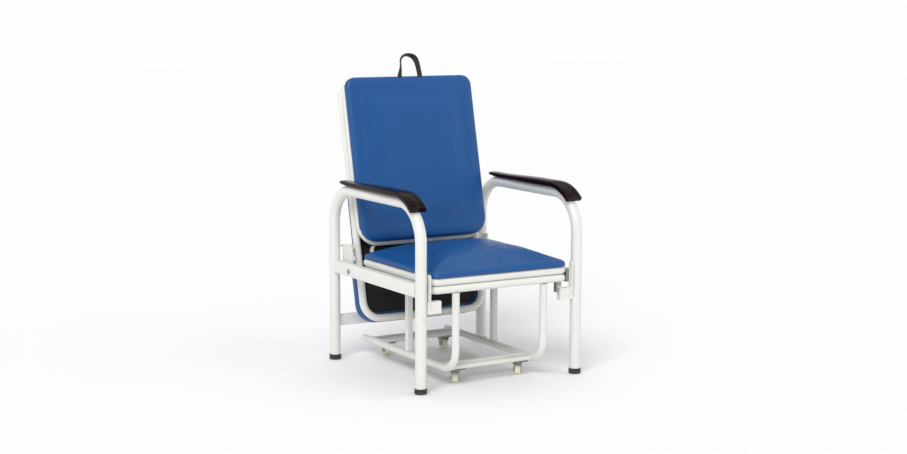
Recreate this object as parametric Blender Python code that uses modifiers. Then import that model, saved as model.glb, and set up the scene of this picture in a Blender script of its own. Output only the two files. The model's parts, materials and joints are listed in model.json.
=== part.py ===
"""Folding attendant chair-bed, modelled closed as a chair.

Every size is in metres.  X runs across the chair, the sitter faces -Y and Z is up.
Heights are above the floor, and depths are from the plane midway between the front and
rear legs: the empty "leg_frame" carries everything and puts Y = 0 at the middle of the
footprint.  The two back panels hang on empties that lean with the backrest, so there
local Y points rearwards, square to the panels, and local Z points up along them.
"""
import math

import bmesh
import bpy
from mathutils import Vector

ORIGIN_Y = 0.0383            # middle of the footprint, behind the middle of the legs

# Side frames
LEG_X = 0.290                # leg centre, left and right
LEG_Y = 0.289                # leg centre, front and rear
LEG_RADIUS = 0.018
LEG_END = 0.006              # the tube ends inside its foot cap
CAP_RADIUS = 0.020
CAP_HEIGHT = 0.018
ARM_Z = 0.584                # centre of the horizontal arm tube
ARM_BEND = 0.120             # bend radius at both ends of the arm
TUBE_WALL = 0.0015
RAIL_Z = 0.321               # centre of the side rail
RAIL_WIDTH, RAIL_HEIGHT = 0.025, 0.042
RAIL_BOLT = (0.166, 0.317)   # depth and height
CROSS_BAR_Y, CROSS_BAR_Z = 0.2995, 0.131
CROSS_BAR_DEPTH, CROSS_BAR_HEIGHT = 0.020, 0.038
BRACKET_X = (0.2225, 0.2717)
BRACKET_Z = 0.268
BRACKET_DEPTH, BRACKET_HEIGHT = 0.020, 0.039
STRIP_X, STRIP_THICK = 0.2655, 0.005
PAD_REAR = 0.217             # rear tip of the armrest pad
PAD_THICK = 0.020            # at the front bend; it thins towards the rear tip
PAD_HALF_WIDTH = 0.029
PAD_DROP = 44.5              # degrees of the front bend that the pad covers

# Backrest: two frames back to back, on a shared middle plane
LEAN = math.radians(12.7)
PLANE_Y, PLANE_Z = 0.2459, 0.500     # a point on the middle plane; "up" is measured from it
RING_RADIUS = 0.0125
RING_OUT = 0.017             # ring centre from the middle plane
RING_X = 0.2325              # centre of a ring's side tube
BACK_TOP = 0.4285            # top tube of both rings, up the plane
FRONT_RING_BOTTOM = -0.1048
REAR_RING_BOTTOM = -0.3581
PANEL_FACE = 0.0295          # ring's outer side from the middle plane
BACKING_HALF_WIDTH = 0.2175
BACKING_THICK = 0.0035
BACK_THICK = 0.036           # back cushion
REAR_PAD_THICK = 0.015
PILLOW_THICK = 0.055
BACK_HALF_WIDTH = 0.241
CUSHION_BOTTOM, CUSHION_TOP = -0.1045, 0.4495
TOP_HINGE_UP = 0.4477
TOP_HINGE_X = 0.150
KNUCKLE = 0.022              # length of one hinge knuckle
PIVOT_UP = -0.1161           # rear panel's pivot pins, level with the rear ring's tubes
PIN_RADIUS = 0.0060
PIN_LENGTH = 0.0275
CHEEK_X, CHEEK_THICK = 0.2675, 0.006  # sliding carriage beside each rail
LINK_UP, LINK_OUT = -0.1302, -0.0090  # hinge between front panel and seat
LINK_PIN_RADIUS = 0.0030
LINK_BOSS = 0.007            # radius of the ears round the pin
LUG_X, LUG_THICK = 0.1945, 0.004
STRAP_OUT = -0.0535          # out from the middle plane, near the middle of the back cushion
STRAP_WIDTH, STRAP_THICK = 0.016, 0.0016

# Seat and rolling base
SEAT_RING_Z = 0.3450
BASE_RING_Z = 0.3195
SEAT_FRONT, SEAT_REAR = -0.2875, 0.1610   # ring tube centres
SEAT_RING_X = 0.2415
SEAT_CORNER = 0.0165         # bend radius of both rings at all four corners
CUSHION_HALF_WIDTH = 0.252
CUSHION_FRONT, CUSHION_REAR = -0.3020, 0.1680
SEAT_EDGE = 0.030            # height of the seat cushion's rim
SEAT_CROWN = 0.0690          # height of its middle
BASE_X = 0.164
BASE_Z = 0.056
BASE_RADIUS = 0.012
BASE_BEND = 0.065
BASE_REAR = 0.315
UPRIGHT_Y = 0.007
UPRIGHT_WIDTH = 0.020
CROSS_TUBE_RADIUS = 0.008
CROSS_SPACING = 0.025        # cross tube centre either side of the caster centre
FRONT_AXLE_Y, REAR_AXLE_Y = -0.210, 0.253
CASTERS = (                  # name, centre across, centre deep, turn of the fork in degrees
    ("front_left", -0.1185, FRONT_AXLE_Y, -31.0),
    ("front_right", 0.1185, FRONT_AXLE_Y, -31.0),
    ("rear_left", -0.1130, REAR_AXLE_Y, 0.0),
    ("rear_right", 0.1130, REAR_AXLE_Y, 0.0),
)
WHEEL_RADIUS = 0.018
WHEEL_HALF_WIDTH = 0.0095
AXLE_RADIUS = 0.0030
FORK_THICK = 0.002
GAP = 0.0003                 # clearance between touching pieces
BORE_GAP = 0.00005           # clearance of a pin in its bore

# Finishes: colour, metallic, roughness
WHITE = ((0.84, 0.84, 0.80), 0.0, 0.35)
BLUE = ((0.012, 0.110, 0.330), 0.0, 0.45)
BLACK = ((0.020, 0.020, 0.022), 0.0, 0.75)
BROWN = ((0.030, 0.010, 0.010), 0.0, 0.20)
ZINC = ((0.62, 0.62, 0.60), 1.0, 0.35)
CREAM = ((0.74, 0.73, 0.58), 0.0, 0.40)

SIDES = (("left", -1), ("right", 1))
QUARTER = math.radians(90)
LENGTHWISE = (0, 0, QUARTER)         # local X turned to point along Y
UPRIGHT = (0, QUARTER, 0)            # local X turned to point down, and local Z along X
SIDE_PLANE = (QUARTER, 0, QUARTER)   # local XY turned to the YZ plane
FACE_PLANE = (QUARTER, 0, 0)         # local XY turned to the XZ plane

for old in list(bpy.data.objects):
    bpy.data.objects.remove(old, do_unlink=True)


# ---------------------------------------------------------------- helpers

def new_collection(name):
    """Collection linked to the scene."""
    collection = bpy.data.collections.new(name)
    bpy.context.scene.collection.children.link(collection)
    return collection


chair = new_collection("attendant_chair_bed")
cutters = new_collection("cutters")


def place(obj, parent=None, location=(0, 0, 0), rotation=(0, 0, 0)):
    """Link an object to the chair, under a parent."""
    chair.objects.link(obj)
    obj.parent = parent
    obj.location = location
    obj.rotation_euler = rotation
    return obj


def empty(name, parent, location, rotation=(0, 0, 0)):
    """Empty that carries pieces, on a joint's axis or at a datum."""
    obj = bpy.data.objects.new(name, None)
    obj.empty_display_size = 0.05
    return place(obj, parent, location, rotation)


def paint(obj, finish):
    """Give a piece its own material."""
    colour, metallic, roughness = finish
    material = bpy.data.materials.new(obj.name)
    material.use_nodes = True
    shader = material.node_tree.nodes["Principled BSDF"]
    shader.inputs["Base Color"].default_value = (*colour, 1.0)
    shader.inputs["Metallic"].default_value = metallic
    shader.inputs["Roughness"].default_value = roughness
    material.diffuse_color = (*colour, 1.0)
    obj.data.materials.append(material)
    return obj


def mesh_piece(name, work, parent, location, rotation):
    """Object from a bmesh, shaded smooth where its faces nearly line up."""
    mesh = bpy.data.meshes.new(name)
    work.to_mesh(mesh)
    work.free()
    mesh.shade_smooth()
    mesh.set_sharp_from_angle(angle=math.radians(35))
    return place(bpy.data.objects.new(name, mesh), parent, location, rotation)


def box(name, size, parent, location, rotation=(0, 0, 0)):
    """Box centred on its origin."""
    work = bmesh.new()
    bmesh.ops.create_cube(work, size=1.0)
    bmesh.ops.scale(work, vec=size, verts=work.verts)
    return mesh_piece(name, work, parent, location, rotation)


def cylinder(name, radius, length, parent, location, rotation=(0, 0, 0), segments=24):
    """Cylinder along local Z, centred on its origin."""
    work = bmesh.new()
    bmesh.ops.create_cone(work, cap_ends=True, segments=segments,
                          radius1=radius, radius2=radius, depth=length)
    return mesh_piece(name, work, parent, location, rotation)


def turned(name, profile, parent, location, rotation=(0, 0, 0), segments=16):
    """Solid turned about local Z from (radius, height) points, outer side top to bottom."""
    mesh = bpy.data.meshes.new(name)
    points = [(radius, 0, height) for radius, height in profile]
    mesh.from_pydata(points, [(i, i + 1) for i in range(len(points) - 1)], [])
    obj = place(bpy.data.objects.new(name, mesh), parent, location, rotation)
    screw = obj.modifiers.new("turn", "SCREW")
    screw.steps = segments
    screw.render_steps = segments
    screw.use_merge_vertices = True
    screw.merge_threshold = 0.00001
    return obj


def add_wall(obj):
    """Give an open surface the tube's wall thickness, inwards."""
    wall = obj.modifiers.new("wall", "SOLIDIFY")
    wall.thickness = TUBE_WALL
    wall.offset = -1
    wall.use_even_offset = True


def box_tube(name, length, width, height, parent, location, rotation=(0, 0, 0)):
    """Rectangular tube along local X, open at both ends."""
    work = bmesh.new()
    bmesh.ops.create_cube(work, size=1.0)
    bmesh.ops.scale(work, vec=(length, width, height), verts=work.verts)
    ends = [face for face in work.faces if abs(face.calc_center_median().x) > length / 4]
    bmesh.ops.delete(work, geom=ends, context="FACES")
    obj = mesh_piece(name, work, parent, location, rotation)
    edges = obj.modifiers.new("edges", "BEVEL")
    edges.width = TUBE_WALL
    edges.segments = 1
    add_wall(obj)
    return paint(obj, WHITE)


def poly_curve(name, points, dimensions, fill_mode, closed=False):
    """Curve through points that are given in two or three dimensions."""
    curve = bpy.data.curves.new(name, "CURVE")
    curve.dimensions = dimensions
    curve.fill_mode = fill_mode
    spline = curve.splines.new("POLY")
    spline.points.add(len(points) - 1)
    spline.use_cyclic_u = closed
    for point, position in zip(spline.points, points):
        point.co = (*Vector(position).to_3d(), 1.0)
    return curve


def tube(name, points, radius, parent, bevel_resolution=4):
    """Hollow round tube bent along points, open at both ends."""
    curve = poly_curve(name, points, "3D", "FULL")
    curve.bevel_depth = radius
    curve.bevel_resolution = bevel_resolution
    obj = place(bpy.data.objects.new(name, curve), parent)
    add_wall(obj)
    return paint(obj, WHITE)


def as_mesh(curve):
    """Turn a curve piece into a mesh piece with welded caps, for modifiers that need one."""
    bpy.context.view_layer.update()
    graph = bpy.context.evaluated_depsgraph_get()
    mesh = bpy.data.meshes.new_from_object(curve.evaluated_get(graph))
    work = bmesh.new()
    work.from_mesh(mesh)
    bmesh.ops.remove_doubles(work, verts=work.verts, dist=0.00001)
    bmesh.ops.dissolve_limit(work, angle_limit=math.radians(0.5), verts=work.verts, edges=work.edges)
    work.to_mesh(mesh)
    work.free()
    name = curve.name
    curve.name = name + "_outline"
    obj = place(bpy.data.objects.new(name, mesh), curve.parent)
    obj.matrix_world = curve.matrix_world.copy()
    bpy.data.objects.remove(curve, do_unlink=True)
    return obj


def plate(name, outline, thickness, parent, location, rotation=(0, 0, 0)):
    """Flat plate with an outline in local XY, half its thickness either side."""
    curve = poly_curve(name, outline, "2D", "BOTH", closed=True)
    curve.extrude = thickness / 2
    return as_mesh(place(bpy.data.objects.new(name, curve), parent, location, rotation))


def pad(name, outline, thickness, edge, parent, location):
    """Upholstered pad that faces along the panel's depth, with rounded rims."""
    obj = plate(name, outline, thickness, parent, location, FACE_PLANE)
    rims = obj.modifiers.new("rims", "BEVEL")
    rims.width = edge
    rims.segments = 3
    rims.angle_limit = math.radians(60)
    return paint(obj, BLUE)


def combine(target, tool, operation):
    """Join a tool to a piece, cut it out, or keep what they share."""
    modifier = target.modifiers.new(tool.name, "BOOLEAN")
    modifier.operation = operation
    modifier.object = tool
    tool.hide_render = True
    tool.display_type = "WIRE"
    chair.objects.unlink(tool)
    cutters.objects.link(tool)


def arc(centre, radius, first, last, steps):
    """Points of an arc in a plane; the angles are in degrees."""
    points = []
    for k in range(steps + 1):
        angle = math.radians(first + (last - first) * k / steps)
        points.append((centre[0] + radius * math.cos(angle), centre[1] + radius * math.sin(angle)))
    return points


def rounded_rect(half_x, low, high, low_radius, high_radius, steps=5):
    """Rounded rectangle, anticlockwise from the middle of its low side."""
    points = arc((half_x - low_radius, low + low_radius), low_radius, -90, 0, steps)
    points += arc((half_x - high_radius, high - high_radius), high_radius, 0, 90, steps)
    points += arc((high_radius - half_x, high - high_radius), high_radius, 90, 180, steps)
    points += arc((low_radius - half_x, low + low_radius), low_radius, 180, 270, steps)
    return points


def ring_path(half_x, low, high, low_radius, high_radius):
    """Ring of tube centre points whose ends meet at a hairline joint in the low side."""
    seam = 0.00025
    outline = rounded_rect(half_x, low, high, low_radius, high_radius)
    return [(seam, low)] + outline + [(-seam, low)]


def swept(name, path, section, widths, parent, rotation):
    """Section run along a path in local XY; widths scale it at each point of the path."""
    profile = bpy.data.objects.new(name + "_section", poly_curve(name, section, "2D", "NONE", closed=True))
    chair.objects.link(profile)
    curve = poly_curve(name, path, "3D", "FULL")
    curve.twist_mode = "Z_UP"
    curve.use_fill_caps = True
    curve.bevel_mode = "OBJECT"
    curve.bevel_object = profile
    for point, width in zip(curve.splines[0].points, widths):
        point.radius = width
    obj = as_mesh(place(bpy.data.objects.new(name, curve), parent, rotation=rotation))
    bpy.data.objects.remove(profile, do_unlink=True)
    return obj


# ---------------------------------------------------------------- frames of reference

def lean(up, out):
    """Depth and height of a point on the leaning backrest."""
    y = PLANE_Y + up * math.sin(LEAN) + out * math.cos(LEAN)
    z = PLANE_Z + up * math.cos(LEAN) - out * math.sin(LEAN)
    return y, z


PIVOT = lean(PIVOT_UP, RING_OUT)
LINK = lean(LINK_UP, LINK_OUT)

leg_frame = empty("leg_frame", None, (0, -ORIGIN_Y, 0))
rear_panel = empty("rear_panel_axis", leg_frame, (0, *PIVOT), (-LEAN, 0, 0))
front_panel = empty("front_panel_axis", rear_panel, (0, -RING_OUT, TOP_HINGE_UP - PIVOT_UP))
seat_unit = empty("seat_axis", front_panel, (0, LINK_OUT, LINK_UP - TOP_HINGE_UP), (LEAN, 0, 0))


def on_rear(x, out, up):
    """Backrest position as the rear panel's empty sees it."""
    return Vector((x, out - RING_OUT, up - PIVOT_UP))


def on_front(x, out, up):
    """Backrest position as the front panel's empty sees it."""
    return Vector((x, out, up - TOP_HINGE_UP))


def on_seat(x, y, z):
    """Position in the leg frame as the seat unit's empty sees it."""
    return Vector((x, y - LINK[0], z - LINK[1]))


# ---------------------------------------------------------------- side frames

def side_arch(side, sign):
    """Front leg, arm and rear leg in one bent tube."""
    x = sign * LEG_X
    bend_y = LEG_Y - ARM_BEND
    bend_z = ARM_Z - ARM_BEND
    outline = [(-LEG_Y, LEG_END)]
    outline += arc((-bend_y, bend_z), ARM_BEND, 180, 90, 7)
    outline += arc((bend_y, bend_z), ARM_BEND, 90, 0, 7)
    outline.append((LEG_Y, LEG_END))
    tube("side_arch_" + side, [(x, y, z) for y, z in outline], LEG_RADIUS, leg_frame, bevel_resolution=6)


def foot_cap(end, side, x, y):
    """Rubber cup round the end of a leg."""
    bore = LEG_RADIUS + GAP
    floor = LEG_END - GAP
    cup = [(0, floor), (bore, floor), (bore, CAP_HEIGHT), (CAP_RADIUS, CAP_HEIGHT),
           (CAP_RADIUS, 0.0015), (CAP_RADIUS - 0.0015, 0), (0, 0)]
    paint(turned(f"foot_cap_{end}_{side}", cup, leg_frame, (x, y, 0)), BLACK)


def side_rail(side, sign):
    """Level rail between the two legs of a side frame, with the bolt in its outer face."""
    x = sign * LEG_X
    length = 2 * (LEG_Y - LEG_RADIUS - GAP)
    box_tube("side_rail_" + side, length, RAIL_WIDTH, RAIL_HEIGHT, leg_frame, (x, 0, RAIL_Z), LENGTHWISE)
    head = [(0, 0.004), (0.005, 0.004), (0.007, 0.002), (0.007, 0), (0, 0)]
    face = sign * (LEG_X + RAIL_WIDTH / 2 + GAP)
    bolt = turned("rail_bolt_" + side, head, leg_frame, (face, *RAIL_BOLT), (0, sign * QUARTER, 0), 12)
    paint(bolt, ZINC)


def front_bracket(side, sign):
    """Stub inside a front leg, with the upright strip that guides the seat frame."""
    width = BRACKET_X[1] - BRACKET_X[0]
    middle = sign * sum(BRACKET_X) / 2
    stub = box("front_bracket_" + side, (width, BRACKET_DEPTH, BRACKET_HEIGHT), leg_frame,
               (middle, -LEG_Y, BRACKET_Z))
    outline = [(-0.306, 0.275), (-0.286, 0.275), (-0.286, 0.366), (-0.292, 0.372), (-0.300, 0.372),
               (-0.306, 0.366)]
    strip = plate("bracket_strip_" + side, outline, STRIP_THICK, leg_frame,
                  (sign * STRIP_X, 0, 0), SIDE_PLANE)
    combine(stub, strip, "UNION")
    paint(stub, WHITE)


def armrest(side, sign):
    """Pad that lies on the arm tube and follows its front bend."""
    half = PAD_THICK / 2
    seat = LEG_RADIUS + GAP
    bend_y = LEG_Y - ARM_BEND
    bend_z = ARM_Z - ARM_BEND
    sizes = ((PAD_REAR, 0.68), (PAD_REAR - 0.012, 0.76), (0.120, 0.86), (-0.060, 1.0))
    path = [(y, ARM_Z + seat + half * size) for y, size in sizes]
    path += arc((-bend_y, bend_z), ARM_BEND + seat + half, 90, 90 + PAD_DROP, 6)
    widths = [size for y, size in sizes] + [1.0] * 7
    half_section = [(half, 0.6), (half - 0.001, 0.88), (0.003, 1.0), (0.002 - half, 1.0), (-half, 0.95)]
    section = [(-height, width * PAD_HALF_WIDTH) for height, width in half_section]
    section += [(height, -width) for height, width in reversed(section)]
    pad_top = swept("armrest_" + side, path, section, widths, leg_frame, SIDE_PLANE)
    pad_top.location.x = sign * LEG_X
    paint(pad_top, BROWN)


def carriage(side, sign):
    """Plate inside a side rail that slides along it and carries the rear panel's pin."""
    outline = [(0.200, 0.305), (0.270, 0.305), (0.270, 0.380), (0.258, 0.395), (0.216, 0.395), (0.200, 0.368)]
    cheek = plate("carriage_" + side, outline, CHEEK_THICK, leg_frame, (sign * CHEEK_X, 0, 0), SIDE_PLANE)
    shoe = box("carriage_shoe_" + side, (0.0072, 0.060, 0.031), leg_frame, (sign * 0.2736, 0.232, 0.3215))
    combine(cheek, shoe, "UNION")
    bore = cylinder("carriage_bore_" + side, PIN_RADIUS + BORE_GAP, 0.030, leg_frame,
                    (sign * CHEEK_X, *PIVOT), UPRIGHT)
    combine(cheek, bore, "DIFFERENCE")
    paint(cheek, WHITE)


for side, sign in SIDES:
    side_arch(side, sign)
    side_rail(side, sign)
    front_bracket(side, sign)
    armrest(side, sign)
    carriage(side, sign)
    for end, y in (("front", -LEG_Y), ("rear", LEG_Y)):
        foot_cap(end, side, sign * LEG_X, y)

bar_length = 2 * (LEG_X - LEG_RADIUS - GAP)
box_tube("rear_cross_bar", bar_length, CROSS_BAR_DEPTH, CROSS_BAR_HEIGHT, leg_frame,
         (0, CROSS_BAR_Y, CROSS_BAR_Z))


# ---------------------------------------------------------------- back panels

def backing(name, low, parent, location):
    """Board behind a panel's cloth, inside the outline of its ring."""
    outline = rounded_rect(BACKING_HALF_WIDTH, low, BACK_TOP - 0.0130, 0.046, 0.035)
    board = plate(name, outline, BACKING_THICK, parent, location, FACE_PLANE)
    paint(board, BLACK)


def top_hinge(name, start, out_sign, parent, at):
    """Half of a knuckle hinge: a barrel and the leaf that reaches down its panel."""
    middle = start + KNUCKLE / 2
    barrel = cylinder(name, 0.004, KNUCKLE, parent, at(middle, 0, TOP_HINGE_UP), UPRIGHT, 12)
    leaf_height = 0.028
    leaf = box(name + "_leaf", (KNUCKLE, 0.0018, leaf_height), parent,
               at(middle, out_sign * 0.0031, TOP_HINGE_UP - leaf_height / 2))
    combine(barrel, leaf, "UNION")
    paint(barrel, WHITE)


def pivot_pin(side, sign):
    """Pin that the rear panel turns on, square to the ring's side tube."""
    chamfer = 0.001
    shape = [(0, PIN_LENGTH), (PIN_RADIUS - chamfer, PIN_LENGTH), (PIN_RADIUS, PIN_LENGTH - chamfer),
             (PIN_RADIUS, 0), (0, 0)]
    start = sign * (RING_X + RING_RADIUS + GAP)
    pin = turned("pivot_pin_" + side, shape, rear_panel, (start, 0, 0), (0, sign * QUARTER, 0), 24)
    paint(pin, WHITE)


def strap_handle():
    """Flat webbing loop that twists between its two feet on the cushion's top edge."""
    stations = (             # across, rise, twist of the width in degrees
        (-0.0345, 0.000, 0), (-0.0345, 0.014, 0), (-0.0310, 0.031, 25), (-0.0280, 0.043, 60),
        (-0.0250, 0.054, 85), (-0.0165, 0.066, 95), (-0.0040, 0.0715, 90), (0.0100, 0.0690, 80),
        (0.0215, 0.0600, 60), (0.0310, 0.048, 35), (0.0385, 0.033, 12), (0.0425, 0.014, 0),
        (0.0425, 0.000, 0),
    )
    curve = poly_curve("strap_handle", [(x, rise) for x, rise, twist in stations], "3D", "FULL")
    curve.twist_mode = "Z_UP"
    curve.use_fill_caps = True
    curve.extrude = (STRAP_WIDTH - STRAP_THICK) / 2
    curve.bevel_depth = STRAP_THICK / 2
    curve.bevel_resolution = 0
    for point, (x, rise, twist) in zip(curve.splines[0].points, stations):
        point.tilt = math.radians(90 - twist)
    strap = place(bpy.data.objects.new("strap_handle", curve), front_panel,
                  on_front(0, STRAP_OUT, CUSHION_TOP + GAP), FACE_PLANE)
    paint(strap, BLACK)


rear_points = ring_path(RING_X, REAR_RING_BOTTOM, BACK_TOP, 0.060, 0.048)
tube("rear_ring", [on_rear(x, RING_OUT, up) for x, up in rear_points], RING_RADIUS, rear_panel)
front_points = ring_path(RING_X, FRONT_RING_BOTTOM, BACK_TOP, 0.062, 0.048)
tube("front_ring", [on_front(x, -RING_OUT, up) for x, up in front_points], RING_RADIUS, front_panel)

board_out = PANEL_FACE - GAP - BACKING_THICK / 2
backing("rear_backing", REAR_RING_BOTTOM + 0.0150, rear_panel, on_rear(0, board_out, 0))
backing("front_backing", FRONT_RING_BOTTOM + 0.0130, front_panel, on_front(0, -board_out, 0))

pad("back_cushion", rounded_rect(BACK_HALF_WIDTH, CUSHION_BOTTOM, CUSHION_TOP, 0.060, 0.036),
    BACK_THICK, 0.0100, front_panel, on_front(0, -PANEL_FACE - BACK_THICK / 2, 0))
pad("rear_pad", rounded_rect(0.2400, -0.1500, 0.4425, 0.012, 0.040), REAR_PAD_THICK, 0.0045,
    rear_panel, on_rear(0, PANEL_FACE + REAR_PAD_THICK / 2, 0))
pad("pillow", rounded_rect(0.2410, -0.3720, -0.1530, 0.066, 0.018), PILLOW_THICK, 0.0160,
    rear_panel, on_rear(0, PANEL_FACE + PILLOW_THICK / 2, 0))

for side, sign in SIDES:
    pivot_pin(side, sign)
    top_hinge("top_hinge_rear_" + side, sign * TOP_HINGE_X, 1, rear_panel, on_rear)
    top_hinge("top_hinge_front_" + side, sign * TOP_HINGE_X - KNUCKLE - GAP, -1, front_panel, on_front)
strap_handle()


# ---------------------------------------------------------------- seat and rolling base

def seat_cushion():
    """Crowned pad on the seat frame, from a cage with one ring of inner points each side."""
    rim = 0.055              # width of the cage's outer band
    shrink = rim / 24        # subdivision pulls each side in by this much
    front, rear = CUSHION_FRONT - shrink, CUSHION_REAR + shrink
    half_x = CUSHION_HALF_WIDTH + shrink
    work = bmesh.new()
    bmesh.ops.create_cube(work, size=1.0)
    bmesh.ops.scale(work, vec=(2 * half_x, rear - front, SEAT_EDGE), verts=work.verts)
    bmesh.ops.translate(work, vec=(0, (front + rear) / 2, SEAT_EDGE / 2), verts=work.verts)
    cuts = [((rim - half_x, 0, 0), (1, 0, 0)), ((half_x - rim, 0, 0), (1, 0, 0)),
            ((0, front + rim, 0), (0, 1, 0)), ((0, rear - rim, 0), (0, 1, 0))]
    for point, normal in cuts:
        everything = list(work.verts) + list(work.edges) + list(work.faces)
        bmesh.ops.bisect_plane(work, geom=everything, plane_co=point, plane_no=normal)
    for vert in work.verts:
        inside = abs(vert.co.x) < half_x - rim / 2 and front + rim / 2 < vert.co.y < rear - rim / 2
        if inside and vert.co.z > SEAT_EDGE / 2:
            vert.co.z = SEAT_CROWN
    base = SEAT_RING_Z + RING_RADIUS + GAP
    cushion = mesh_piece("seat_cushion", work, seat_unit, on_seat(0, 0, base), (0, 0, 0))
    soften = cushion.modifiers.new("soften", "SUBSURF")
    soften.levels = 2
    soften.render_levels = 2
    paint(cushion, BLUE)


def seat_lug(side, sign):
    """Ear behind the seat frame, with the pin that the front panel hangs on."""
    face = SEAT_REAR + RING_RADIUS + GAP
    pin_length = 0.0085
    outline = [(face, 0.337), (0.186, 0.337)] + arc(LINK, LINK_BOSS, -60, 180, 8) + [(face, 0.353)]
    x = sign * LUG_X
    lug = plate("seat_lug_" + side, outline, LUG_THICK, seat_unit, on_seat(x, 0, 0), SIDE_PLANE)
    pin = cylinder("seat_lug_pin_" + side, LINK_PIN_RADIUS, pin_length, seat_unit,
                   (x - sign * pin_length / 2, 0, 0), UPRIGHT)
    combine(lug, pin, "UNION")
    paint(lug, WHITE)


def link_plate(side, sign):
    """Hanger under the front panel's lower tube, bored for the lug's pin."""
    top = FRONT_RING_BOTTOM - RING_RADIUS - GAP
    x = sign * (LUG_X - LUG_THICK - 2 * GAP)
    outline = [(-0.027, top), (0.0, top)] + arc((LINK_OUT, LINK_UP), LINK_BOSS, 30, -210, 8)
    hanger = plate("link_plate_" + side, outline, LUG_THICK, front_panel, on_front(x, 0, 0), SIDE_PLANE)
    bore = cylinder("link_bore_" + side, LINK_PIN_RADIUS + BORE_GAP, 0.020, front_panel,
                    on_front(x, LINK_OUT, LINK_UP), UPRIGHT)
    combine(hanger, bore, "DIFFERENCE")
    paint(hanger, WHITE)


def base_side_tube(side, sign):
    """Tube that drops from the front of the seat and runs back along the floor."""
    outline = [(SEAT_FRONT, BASE_RING_Z - RING_RADIUS - GAP)]
    outline += arc((SEAT_FRONT + BASE_BEND, BASE_Z + BASE_BEND), BASE_BEND, 180, 270, 6)
    outline.append((BASE_REAR, BASE_Z))
    points = [on_seat(sign * BASE_X, y, z) for y, z in outline]
    tube("base_side_tube_" + side, points, BASE_RADIUS, seat_unit)


def rear_upright(side, sign):
    """Square post from the floor tube up to the seat's cross bar."""
    low = BASE_Z + BASE_RADIUS + GAP
    high = BASE_RING_Z - UPRIGHT_WIDTH / 2 - GAP
    box_tube("rear_upright_" + side, high - low, UPRIGHT_WIDTH, UPRIGHT_WIDTH, seat_unit,
             on_seat(sign * BASE_X, UPRIGHT_Y, (low + high) / 2), UPRIGHT)


def caster(name, x, y, turn):
    """Twin-cheeked swivel caster under a pair of cross tubes."""
    top = BASE_Z - CROSS_TUBE_RADIUS - GAP
    plate_thick, neck_height = 0.0025, 0.004
    flat = box("caster_plate_" + name, (0.044, 0.064, plate_thick), seat_unit,
               on_seat(x, y, top - plate_thick / 2))
    neck = cylinder("caster_neck_" + name, 0.011, neck_height + 0.001, seat_unit,
                    on_seat(x, y, top - plate_thick - neck_height / 2 + 0.0005), segments=16)
    combine(flat, neck, "UNION")
    paint(flat, ZINC)

    swivel = empty("caster_swivel_" + name, seat_unit, on_seat(x, y, 0), (0, 0, math.radians(turn)))
    high = top - plate_thick - neck_height - GAP
    low = WHEEL_RADIUS - 0.006
    inner = WHEEL_HALF_WIDTH + 0.0006
    outer = inner + FORK_THICK
    channel = [(-outer, low), (-inner, low), (-inner, high - FORK_THICK), (inner, high - FORK_THICK),
               (inner, low), (outer, low), (outer, high), (-outer, high)]
    fork = plate("caster_fork_" + name, channel, 0.022, swivel, (0, 0, 0), FACE_PLANE)
    cheek = [(-0.005, low - 0.001), (0.005, low - 0.001), (0.0085, WHEEL_RADIUS), (0.0105, high + 0.001),
             (-0.0105, high + 0.001), (-0.0085, WHEEL_RADIUS)]
    taper = plate("caster_taper_" + name, cheek, 0.030, swivel, (0, 0, 0), SIDE_PLANE)
    combine(fork, taper, "INTERSECT")
    bore = cylinder("caster_bore_" + name, AXLE_RADIUS + BORE_GAP, 0.040, swivel,
                    (0, 0, WHEEL_RADIUS), UPRIGHT)
    combine(fork, bore, "DIFFERENCE")
    paint(fork, ZINC)

    w = WHEEL_HALF_WIDTH
    half = [(0, w + 0.003), (AXLE_RADIUS, w + 0.003), (AXLE_RADIUS, w - 0.0004), (0.010, w - 0.0004),
            (0.011, w), (0.016, w), (WHEEL_RADIUS, w - 0.003)]
    tread = half + [(radius, -height) for radius, height in reversed(half)]
    wheel = turned("caster_wheel_" + name, tread, swivel, (0, 0, WHEEL_RADIUS), UPRIGHT, 24)
    paint(wheel, CREAM)


flat_ring = ring_path(SEAT_RING_X, -SEAT_REAR, -SEAT_FRONT, SEAT_CORNER, SEAT_CORNER)
for name, z in (("seat_ring", SEAT_RING_Z), ("base_ring", BASE_RING_Z)):
    tube(name, [on_seat(x, -depth, z) for x, depth in flat_ring], RING_RADIUS, seat_unit)
seat_cushion()
box_tube("seat_cross_bar", 2 * (SEAT_RING_X - RING_RADIUS - GAP), UPRIGHT_WIDTH, UPRIGHT_WIDTH, seat_unit,
         on_seat(0, UPRIGHT_Y, BASE_RING_Z))
for side, sign in SIDES:
    seat_lug(side, sign)
    link_plate(side, sign)
    base_side_tube(side, sign)
    rear_upright(side, sign)

reach = BASE_X - BASE_RADIUS - GAP
for end, centre in (("front", FRONT_AXLE_Y), ("rear", REAR_AXLE_Y)):
    for number, offset in ((1, -CROSS_SPACING), (2, CROSS_SPACING)):
        ends = [on_seat(-reach, centre + offset, BASE_Z), on_seat(reach, centre + offset, BASE_Z)]
        tube(f"{end}_cross_tube_{number}", ends, CROSS_TUBE_RADIUS, seat_unit)

for name, x, y, turn in CASTERS:
    caster(name, x, y, turn)
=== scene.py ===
"""Looks of the folding attendant chair-bed: smooth tubes, upholstery, fittings, light and camera."""
import json
import math

import bmesh
import bpy
from mathutils import Matrix, Vector, noise


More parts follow.
